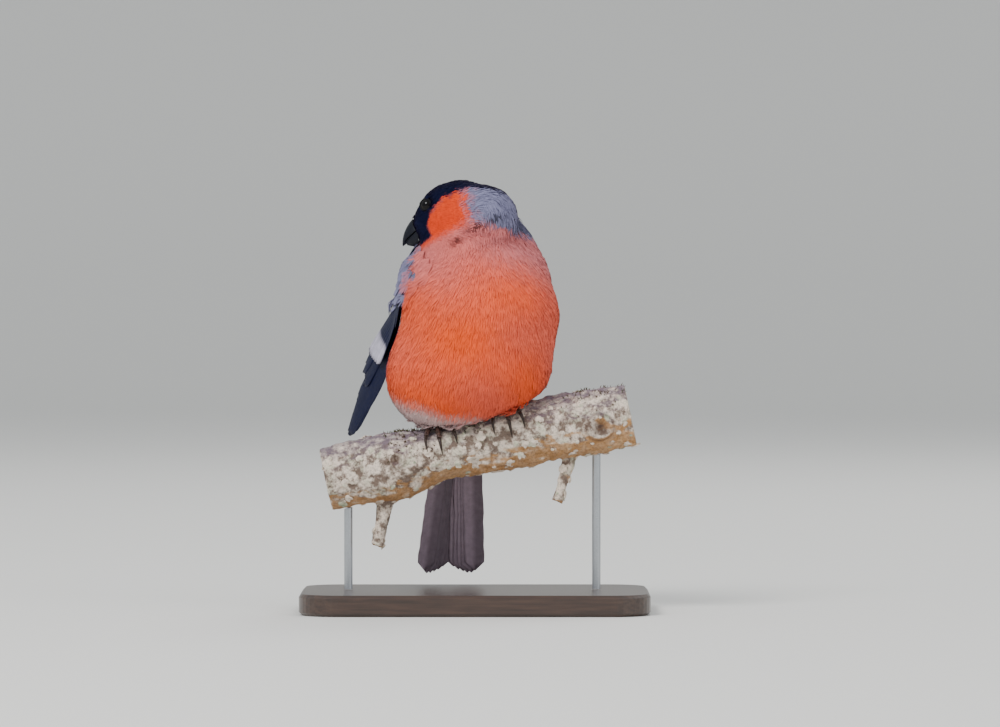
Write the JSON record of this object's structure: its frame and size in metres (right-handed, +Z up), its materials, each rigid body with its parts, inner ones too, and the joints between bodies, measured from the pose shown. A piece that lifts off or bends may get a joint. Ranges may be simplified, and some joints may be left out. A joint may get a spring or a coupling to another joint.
{
  "type": "bullfinch museum model",
  "caption": "Life-size male bullfinch, puffed up, head turned over its shoulder, gripping a cut branch held over a flat display base by thin rods.",
  "frame": {"origin": "middle of the display base's underside", "axes": "+Z up; the bird's breast faces -Y, turned about 15 degrees towards +X; the perch climbs towards +X"},
  "size_m": [0.132, 0.0889, 0.1633],
  "materials": {
    "plumage_black": "glossy blue-black feathers",
    "plumage_grey": "soft lilac-grey feathers",
    "plumage_red": "soft orange-red feathers",
    "plumage_tail": "blue-black tail feathers, mauve-grey beneath",
    "horn": "dark satin horn",
    "eye": "wet dark brown",
    "leg_scale": "brown scaled skin",
    "bark": "rough bark with crusty lichen",
    "base_wood": "dark stained hardwood, satin",
    "rod_metal": "brushed steel"
  },
  "bodies": {
    "root": {"torso": "plumage_red", "neck": "plumage_grey", "head": "plumage_black", "bill_upper": "horn", "bill_lower": "horn", "eye_left": "eye", "eye_right": "eye", "wing_right": "plumage_black", "wing_left": "plumage_black", "tail": "plumage_tail", "foot_right": "leg_scale", "leg_right": "leg_scale", "claw_right_inner": "horn", "claw_right_middle": "horn", "claw_right_outer": "horn", "claw_right_hind": "horn", "foot_left": "leg_scale", "leg_left": "leg_scale", "claw_left_inner": "horn", "claw_left_middle": "horn", "claw_left_outer": "horn", "claw_left_hind": "horn", "stand_perch": "bark", "stand_base": "base_wood", "stand_rod_left": "rod_metal", "stand_rod_right": "rod_metal"}
  },
  "joints": []
}
